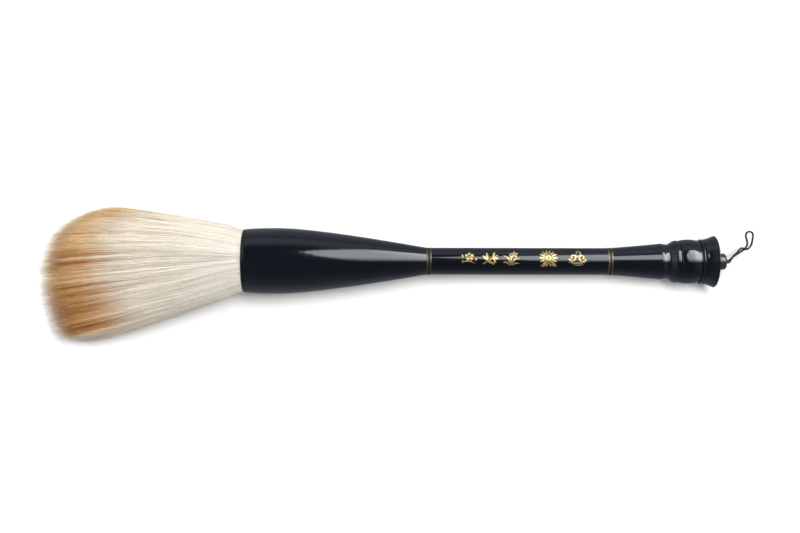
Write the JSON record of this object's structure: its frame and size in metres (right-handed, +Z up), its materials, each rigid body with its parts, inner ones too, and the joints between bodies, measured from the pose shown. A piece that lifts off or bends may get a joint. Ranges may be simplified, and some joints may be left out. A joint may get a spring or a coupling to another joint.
{
  "type": "calligraphy brush",
  "caption": "Large calligraphy brush lying flat: soft fanned hair tuft in a turned black lacquered bowl, slim stem, turned tail, end knob and a hanging loop of cord.",
  "frame": {"origin": "on the table, under the widest section of the bowl", "axes": "+X along the brush from hair to tail, +Z up from the table, +Y to the left when looking from hair to tail"},
  "size_m": [0.3731, 0.0696, 0.035],
  "materials": {
    "cover_hair": "satin",
    "core_hair": "satin",
    "lacquer": "gloss",
    "dark_spacer": "satin",
    "gilt_metal": "polished",
    "dowel_wood": "satin",
    "thread": "matte",
    "rosin": "gloss",
    "dark_horn": "gloss",
    "cord": "matte"
  },
  "bodies": {
    "handle": {"hair_root": "cover_hair", "binding_thread": "thread", "rosin_plug": "rosin", "mouth_ring": "lacquer", "bowl": "lacquer", "front_tenon": "dowel_wood", "front_wire_outer": "gilt_metal", "front_spacer": "dark_spacer", "front_wire_inner": "gilt_metal", "stem": "lacquer", "rear_tenon": "dowel_wood", "rear_wire_inner": "gilt_metal", "rear_spacer": "dark_spacer", "rear_wire_outer": "gilt_metal", "tail_cone": "lacquer", "tail_bead": "lacquer", "tail_collar": "lacquer", "bell_cap": "lacquer", "tail_pin": "dowel_wood", "end_knob": "dark_horn", "cord_knot": "cord"},
    "tuft": {"tuft_cover": "cover_hair", "tuft_core": "core_hair"},
    "loop": {"hanging_loop": "cord"}
  },
  "joints": [
    {"name": "tuft_bend", "type": "hinge", "parent": "handle", "child": "tuft", "pos_m": [-0.0157, 0, 0.01725], "axis": [0, 0, 1], "range_deg": [-30, 30], "stiffness_Nm_per_rad": 0.06},
    {"name": "loop_swing", "type": "hinge", "parent": "handle", "child": "loop", "pos_m": [0.2338, 0, 0.0133], "axis": [0, 0, 1], "range_deg": [-110, 35], "deforming": ["hanging_loop"]}
  ]
}
